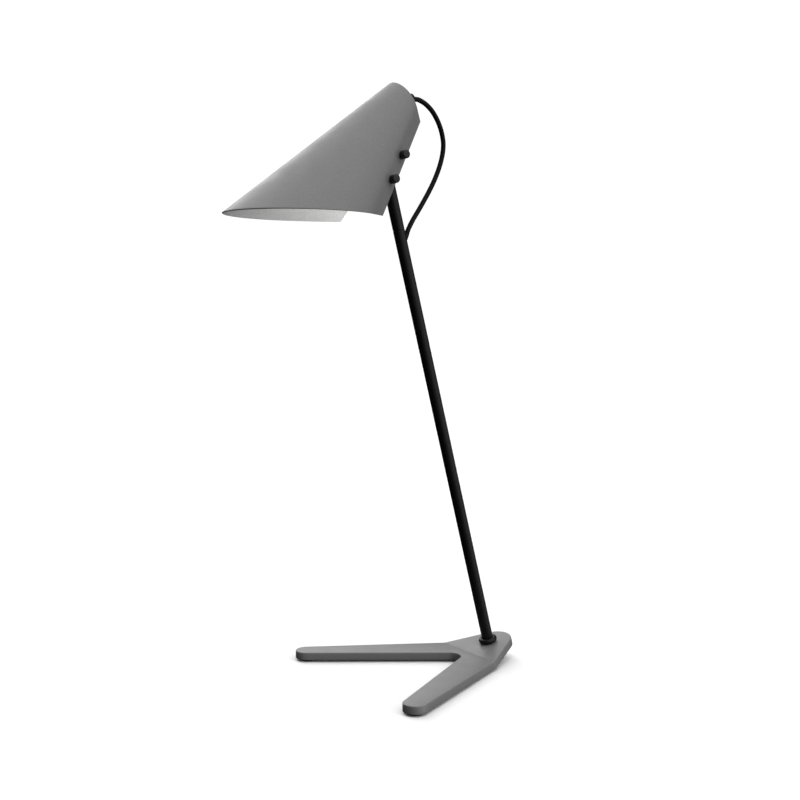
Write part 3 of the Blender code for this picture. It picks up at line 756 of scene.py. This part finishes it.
def bottom_edge(t):
    """Distance along the ridge and depth of the bottom edge, from tip (0) to corner (1)."""
    along = BOTTOM_CORNER * t
    rise = BOTTOM_BOW * 4 * t * (1 - t) - BOTTOM_DROP * t
    return along, (along * math.sin(RIDGE) - rise) / math.cos(RIDGE)


def upper_edge(depth):
    """Distance along the ridge of the rim or, below the rim's corner, of the back edge."""
    corner_depth, corner_along = TOP_CORNER
    if depth <= corner_depth:
        return lerp((RIDGE_LENGTH, corner_along), depth / corner_depth)
    bottom_depth = bottom_edge(1.0)[1]
    share = (depth - corner_depth) / (bottom_depth - corner_depth)
    return lerp((corner_along, BOTTOM_CORNER), share)


def share_at_corner():
    """Share of the bottom edge at which it is as deep as the rim's corner, found by halving."""
    low, high = 0.0, 1.0
    for _ in range(40):
        middle = (low + high) / 2
        if bottom_edge(middle)[1] < TOP_CORNER[0]:
            low = middle
        else:
            high = middle
    return (low + high) / 2


def shade_sheet():
    """Rolled sheet, 1 mm thick, grey outside and white inside, with its cut edges eased."""
    rim_rows, flank_rows, columns = 44, 26, 90
    corner = share_at_corner()
    shares = [corner * (i / rim_rows) ** 2 for i in range(rim_rows)]
    shares += [lerp((corner, 1.0), i / flank_rows) for i in range(flank_rows)]
    bm = bmesh.new()
    rows = {1: [], -1: []}
    for share in shares:
        start, depth = bottom_edge(share)
        stop = upper_edge(depth)
        for side in rows:
            if share == 0.0 and side == -1:
                rows[side].append(rows[1][0])
                continue
            row = []
            for j in range(columns + 1):
                along = lerp((start, stop), j / columns)
                width = side * half_width(depth, along)
                row.append(bm.verts.new((width * MM, depth * MM, along * MM)))
            rows[side].append(row)
    along, depth = bottom_edge(1.0)
    for side, strip in rows.items():
        tip = bm.verts.new((side * half_width(depth, along) * MM, depth * MM, along * MM))
        for upper, lower in zip(strip, strip[1:]):
            for j in range(columns):
                quad = [upper[j], upper[j + 1], lower[j + 1], lower[j]]
                bm.faces.new(quad if side > 0 else quad[::-1])
        for j in range(columns):
            fan = [strip[-1][j], strip[-1][j + 1], tip]
            bm.faces.new(fan if side > 0 else fan[::-1])
    sheet = finish_piece("shade_fine", bm, SHADE, [GREY, WHITE], 60)
    skin = sheet.modifiers.new("sheet", "SOLIDIFY")
    skin.thickness = SHEET * MM
    skin.offset = -1.0
    skin.use_even_offset = True
    skin.material_offset = 1
    skin.material_offset_rim = 0
    round_edges(sheet, SHEET_EDGE, 2, 60)
    apply_modifiers(sheet, 35)
    adopt(sheet, "head", "grey_paint", "shade")


def end_plate():
    """Plate across the upper end of the roll."""
    low, high = END_PLATE
    t = high / RIDGE_LENGTH
    lean = lerp(ROLL_LEAN, t)
    radius = lerp(ROLL_RADIUS, t)
    rim = arc((0, radius), radius - SHEET - 2 * GAP, -90, lean, 48)
    tilt = math.radians(lean)
    foot = (rim[-1][0] - END_PLATE_REACH * math.sin(tilt),
            rim[-1][1] + END_PLATE_REACH * math.cos(tilt))
    side = rim[1:] + [foot]
    outline = [rim[0]] + side + [(-x, y) for x, y in reversed(side)]
    plate = prism("shade_end_plate_fine", outline, low, high, SHADE, [GREY, WHITE])
    round_edges(plate, 0.25)
    apply_modifiers(plate, 30)
    adopt(plate, "head", "grey_paint", "shade_end_plate")


def lampholder():
    """Bakelite holder with a fluted skirt, its nipple, threaded sleeve and centre contact."""
    back = END_PLATE[0] - GAP
    mouth = back - HOLDER_LENGTH
    cavity = back - HOLDER_BACK
    skirt = mouth + SKIRT_LENGTH
    corners = [(NIPPLE_RADIUS + GAP, back, 0), (NIPPLE_RADIUS + GAP, cavity, 0),
               (HOLDER_BORE, cavity, 0), (HOLDER_BORE, mouth, 0.5), (SKIRT_RADIUS, mouth, 0.7),
               (SKIRT_RADIUS, skirt, 0.6), (HOLDER_RADIUS, skirt + 2, 0.5),
               (HOLDER_RADIUS, back - 3, 1.0), (10.0, back, 0.6)]
    profile = filleted(corners)

    def fluted(angle):
        points = []
        for radius, height in profile:
            on_skirt = radius > SKIRT_RADIUS - 0.6 and mouth + 2 < height < skirt - 0.4
            groove = FLUTE_DEPTH * max(0.0, math.cos(FLUTES * angle)) if on_skirt else 0.0
            points.append((radius - groove, height))
        return points

    body = lathe("lampholder_body_fine", fluted, LAMP, [BAKELITE], 160)
    adopt(body, "head", "black_plastic", "lampholder_body")
    nipple = threaded("lampholder_nipple_fine", NIPPLE_BORE, NIPPLE_RADIUS, 0.4, NIPPLE_PITCH,
                      back - 8, END_PLATE[1] + 4.3, LAMP, [STEEL])
    adopt(nipple, "head", "steel", "lampholder_nipple")
    sleeve = turned("lampholder_sleeve_fine",
                    ring_corners(7.6, 8.4, mouth + 4, cavity - GAP, 0.2, 0.2), LAMP, [BRASS])
    adopt(sleeve, "head", "brass", "lampholder_sleeve")
    contact = turned("lampholder_contact_fine",
                     [(0, cavity - 3.6, 0), (2.6, cavity - 3.0, 0.4), (2.6, cavity - GAP, 0.2),
                      (0, cavity - GAP, 0)], LAMP, [BRASS], 48)
    adopt(contact, "head", "brass", "lampholder_contact")


def bulb():
    """Candle bulb: frosted glass on a brass screw cap."""
    back = END_PLATE[0] - GAP
    tip = back - HOLDER_BACK - 4.0
    neck = back - HOLDER_LENGTH + 1.0
    cap = threaded("bulb_cap_fine", 0, 7.1, 0.7, 3.0, neck, tip - 3.2, LAMP, [BRASS])
    adopt(cap, "head", "brass", "bulb_cap")
    button = turned("bulb_cap_contact",
                    [(0, tip - 3.4, 0), (6.0, tip - 3.4, 0.2), (4.4, tip - 1.4, 0.5),
                     (2.4, tip - 1.2, 0.2), (2.4, tip, 0.5), (0, tip, 0)], LAMP, [BRASS], 48)
    adopt(button, "head", "brass")
    base = neck - GAP
    steps = 64
    profile = [(0, base)]
    for i in range(steps):
        t = 1 - (1 - i / steps) ** 1.5
        swell = math.sin(math.pi * min(t / BULB_SHOULDER, 1.0) / 2)
        past = max(t - BULB_SHOULDER, 0.0) / (1 - BULB_SHOULDER)
        taper = math.cos(math.pi / 2 * past) ** 0.75
        profile.append((lerp((BULB_NECK, BULB_RADIUS), swell) * taper, base - BULB_LENGTH * t))
    profile.append((0, base - BULB_LENGTH))
    glass = lathe("bulb_glass_fine", lambda angle: profile, LAMP, [GLASS], 96, 60)
    adopt(glass, "head", "opal_glass", "bulb_glass")


def gland():
    """Nut on the end plate and the flanged, tapered gland that the cord leaves by."""
    low = END_PLATE[1] + GAP
    nut = hexagonal("gland_nut_fine", NIPPLE_RADIUS + 0.1, GLAND_NUT, low, low + 3.4, LAMP,
                    [STEEL], math.pi / 6)
    adopt(nut, "head", "steel", "gland_nut")
    corners = [(4.9, 0, 0.4), (4.9, 4.8, 0.4), (4.3, 5.4, 0.2), (4.3, 6.7, 0.2), (5.9, 7.1, 0.6),
               (5.9, 9.2, 0.7), (3.4, GLAND_LENGTH, 0.5), (END_BORE, GLAND_LENGTH, 0),
               (END_BORE, 0, 0)]
    body = turned("cord_gland_fine", corners, gland_frame(), [RUBBER], 64)
    adopt(body, "head", "rubber", "cord_gland")


# ---------------------------------------------------------------- tilt joint

def fitted(name, profile_of, matrix, looks):
    """Ring on a rod. Each point is a radius and either a height or a function that gives the
    height from the half width of the shade there."""

    def profile_at(angle):
        points = []
        for radius, height in profile_of:
            if callable(height):
                out = Vector((radius * math.cos(angle), radius * math.sin(angle), 0))
                height = height(width_at(matrix @ (out * MM)))
            points.append((radius, height))
        return points

    return lathe(name, profile_at, matrix, looks, 64)


def rod_stack(label, axis_frame):
    """Rod through both flanks of the shade, with a spacer, a seat and a knob on each side."""
    centre = axis_frame.to_translation()
    turns = [math.radians(10 * i) for i in range(36)]
    rim = [Vector((0, math.cos(a), math.sin(a))) * KNOB_RADIUS * MM for a in turns]
    seat_top = max(width_at(centre + STEM.to_3x3() @ point) for point in rim) + GAP + SEAT_RISE
    knob_base = seat_top + GAP
    reach = knob_base + KNOB_LENGTH - ROD_SHORT
    ends = [(0, -reach, 0), (ROD_RADIUS, -reach, 0.4), (ROD_RADIUS, reach, 0.4), (0, reach, 0)]
    rod = turned(f"{label}_rod_fine", ends, axis_frame, [STEEL], 48)
    adopt(rod, "head", "steel", f"{label}_rod")
    flank = SHEET / math.cos(math.radians(ROLL_LEAN[1])) + GAP
    bore = ROD_RADIUS + 0.15
    start = CHEEK[1] + GAP

    def inside(width):
        return width - flank - 0.1

    def outside(width):
        return width + 0.05

    for side, word in SIDES:
        own = side_frame(axis_frame, side)
        spacer = fitted(f"{label}_spacer_{word}_fine",
                        [(bore, start), (SPACER_RADIUS - 0.4, start),
                         (SPACER_RADIUS - 0.12, start + 0.12), (SPACER_RADIUS, start + 0.4),
                         (SPACER_RADIUS, inside), (bore, inside)], own, [BLACK])
        adopt(spacer, "head", "black_coat", f"{label}_spacer_{word}")
        seat = fitted(f"{label}_seat_{word}_fine",
                      [(bore, outside), (KNOB_RADIUS + 0.1, outside),
                       (KNOB_RADIUS + 0.1, seat_top - 0.25), (KNOB_RADIUS - 0.15, seat_top),
                       (bore, seat_top)], own, [PLASTIC])
        adopt(seat, "head", "black_plastic", f"{label}_seat_{word}")
        corners = [(0, KNOB_SOCKET, 0), (bore, KNOB_SOCKET, 0), (bore, 0, 0),
                   (KNOB_RADIUS, 0, 0.3), (KNOB_RADIUS, KNOB_LENGTH - 0.35, 1.0),
                   (0, KNOB_LENGTH + 0.1, 0)]
        knob = turned(f"{label}_knob_{word}_fine", corners, shift(own, z=knob_base), [PLASTIC], 64)
        adopt(knob, f"{label}_knob_{word}_body", "black_plastic", f"{label}_knob_{word}")


def hull_of_two(first, first_radius, second, second_radius, steps=32):
    """Outline around two circles and the straight lines that touch both."""
    dx = second[0] - first[0]
    dy = second[1] - first[1]
    heading = math.degrees(math.atan2(dy, dx))
    half = math.degrees(math.acos((first_radius - second_radius) / math.hypot(dx, dy)))
    far = arc(second, second_radius, heading - half, heading + half, steps)
    near = arc(first, first_radius, heading + half, heading + 360 - half, steps)
    return far + near


def tilt_bracket():
    """U-shaped bracket whose cheeks clamp the tongue, bent from one strip of steel."""
    first = Vector((-PIVOT[0], PIVOT[1]))
    second = Vector((-STOP[0], STOP[1]))
    plane = STEM @ Matrix(((0, 0, 1, 0), (1, 0, 0, 0), (0, 1, 0, 0), (0, 0, 0, 1)))
    outline = hull_of_two(first, CHEEK_RADIUS[0], second, CHEEK_RADIUS[1])
    bracket = prism("tilt_bracket_fine", outline, CHEEK[0], CHEEK[1], plane, [STEEL])
    other = prism("bracket_cheek", outline, -CHEEK[1], -CHEEK[0], plane, [STEEL])
    along = (second - first).normalized()
    across = Vector((along.y, -along.x))
    if across.y < 0:
        across = -across
    start, stop, inner, outer = WEB
    corners = [(start, inner), (stop, inner), (stop, outer), (start, outer)]
    web_outline = [tuple(first + along * a + across * b) for a, b in corners]
    web = prism("bracket_web", web_outline, -CHEEK[0] - 0.7, CHEEK[0] + 0.7, plane, [STEEL])
    boolean(bracket, web, "UNION")
    boolean(bracket, other, "UNION")
    round_edges(bracket, 0.3, 2, 50)
    apply_modifiers(bracket, 30)
    adopt(bracket, "head", "steel", "tilt_bracket")
    section = ring_corners(ROD_RADIUS + GAP, FRICTION_RADIUS, TONGUE + GAP, CHEEK[0] - GAP, 0.3)
    for side, word in SIDES:
        washer = turned(f"friction_washer_{word}_fine", section, side_frame(PIVOT_FRAME, side),
                        [RUBBER], 64)
        adopt(washer, "head", "rubber", f"friction_washer_{word}")


# ---------------------------------------------------------------- cord

def cord_route():
    """Forward and up positions of the cord's own points, from the gland round to the stem."""
    start = GLAND_LENGTH + GAP + 0.5
    stop = SLEEVE_OUT + GAP + 0.1
    ends = [(gland_frame(), start), (entry_frame(), stop + 5), (entry_frame(), stop)]
    ends = [matrix @ (Vector((0, 0, height)) * MM) for matrix, height in ends]
    ends = [(CENTRE_FORWARD - p.y / MM, p.z / MM) for p in ends]
    return ends[:1] + CORD_POINTS + ends[1:]


def smooth_path(points, steps):
    """Points of a smooth curve through the given ones."""
    path = []
    padded = [points[0]] + points + [points[-1]]
    for before, a, b, after in zip(padded, padded[1:], padded[2:], padded[3:]):
        for i in range(steps):
            t = i / steps
            path.append(tuple(
                0.5 * (2 * q + (r - p) * t + (2 * p - 5 * q + 4 * r - s) * t * t
                       + (3 * q - p - 3 * r + s) * t ** 3)
                for p, q, r, s in zip(before, a, b, after)))
    return path + [points[-1]]


def head_cord():
    """Free loop of round cord from the gland to the back of the stem."""
    path = [place(0, forward, up) for forward, up in smooth_path(cord_route(), 8)]
    bm = bmesh.new()
    side = Vector((1, 0, 0))
    count = 32
    loops = []
    for i, point in enumerate(path):
        ahead = path[min(i + 1, len(path) - 1)] - path[max(i - 1, 0)]
        normal = ahead.normalized().cross(side)
        ring = []
        for k in range(count):
            turn = 2 * math.pi * k / count
            out = side * math.cos(turn) + normal * math.sin(turn)
            ring.append(bm.verts.new(point + out * CORD_RADIUS * MM))
        loops.append(ring)
    for one, two in zip(loops, loops[1:]):
        for k in range(count):
            bm.faces.new([one[k - 1], one[k], two[k], two[k - 1]])
    bm.faces.new(loops[0])
    bm.faces.new(loops[-1])
    cord = finish_piece("head_cord_fine", bm, IN_PLACE, [JACKET], 60)
    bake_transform(cord)
    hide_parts("head_cord")


# ---------------------------------------------------------------- studio

def camera():
    """Camera at the photograph's viewing angle."""
    data = bpy.data.cameras.new("camera")
    data.lens = CAMERA_LENS
    made = bpy.data.objects.new("camera", data)
    bpy.context.scene.collection.objects.link(made)
    made.location = CAMERA_PLACE
    made.rotation_euler = (math.radians(90 - CAMERA_ELEVATION), 0, math.radians(CAMERA_AZIMUTH))
    bpy.context.scene.camera = made


def fill_light():
    """Small soft light in the mouth of the shade, facing its far flank."""
    side, forward, up, width, power = FILL
    data = bpy.data.lights.new("fill", "AREA")
    data.size = width * MM
    data.energy = power
    made = bpy.data.objects.new("fill", data)
    bpy.context.scene.collection.objects.link(made)
    made.location = place(side, forward, up)
    made.rotation_euler = (0, math.radians(90), 0)
    made.visible_camera = False
    made.visible_glossy = False


def floor():
    """Large plain pale floor."""
    bm = bmesh.new()
    bmesh.ops.create_grid(bm, x_segments=1, y_segments=1, size=FLOOR_SIZE)
    look = Look("floor_paint", (0.98, 0.98, 0.98), 0.9, Specular_IOR_Level=0.2)
    made = finish_piece("floor", bm, IN_PLACE, [look.material])
    made.visible_diffuse = False
    made.visible_glossy = False


def world():
    """Soft studio surround made of broad pale panels, and plain white where the camera sees it."""
    made = bpy.data.worlds.new("studio")
    bpy.context.scene.world = made
    made.use_nodes = True
    nodes, links = made.node_tree.nodes, made.node_tree.links
    back = nodes["Background"]
    back.inputs["Color"].default_value = (1, 1, 1, 1)
    direction = nodes.new("ShaderNodeTexCoord").outputs["Generated"]
    total = None
    for azimuth, elevation, core, edge, strength in PANELS:
        a, e = math.radians(azimuth), math.radians(elevation)
        towards = nodes.new("ShaderNodeVectorMath")
        towards.operation = "DOT_PRODUCT"
        level = math.cos(e)
        towards.inputs[1].default_value = (level * math.cos(a), level * math.sin(a), math.sin(e))
        links.new(direction, towards.inputs[0])
        fall = nodes.new("ShaderNodeMapRange")
        fall.interpolation_type = "SMOOTHSTEP"
        fall.inputs["From Min"].default_value = math.cos(math.radians(edge))
        fall.inputs["From Max"].default_value = math.cos(math.radians(core))
        fall.inputs["To Min"].default_value = 0.0
        fall.inputs["To Max"].default_value = strength
        links.new(towards.outputs["Value"], fall.inputs["Value"])
        if total is None:
            total = fall.outputs["Result"]
            continue
        add = nodes.new("ShaderNodeMath")
        add.operation = "ADD"
        links.new(total, add.inputs[0])
        links.new(fall.outputs["Result"], add.inputs[1])
        total = add.outputs["Value"]
    links.new(total, back.inputs["Strength"])
    seen = nodes.new("ShaderNodeBackground")
    seen.inputs["Color"].default_value = (1, 1, 1, 1)
    seen.inputs["Strength"].default_value = BACKDROP
    path = nodes.new("ShaderNodeLightPath")
    mix = nodes.new("ShaderNodeMixShader")
    links.new(path.outputs["Is Camera Ray"], mix.inputs["Fac"])
    links.new(back.outputs["Background"], mix.inputs[1])
    links.new(seen.outputs["Background"], mix.inputs[2])
    links.new(mix.outputs["Shader"], nodes["World Output"].inputs["Surface"])


camera()
fill_light()
head_cord()
base_plate()
feet()
stem_fixing()
stem_ring()
stem_tube()
stem_head()
shade_sheet()
end_plate()
lampholder()
bulb()
gland()
rod_stack("pivot", PIVOT_FRAME)
rod_stack("stop", STOP_FRAME)
tilt_bracket()
floor()
world()
view = bpy.context.scene.view_settings
view.view_transform = "Standard"
view.look = "None"
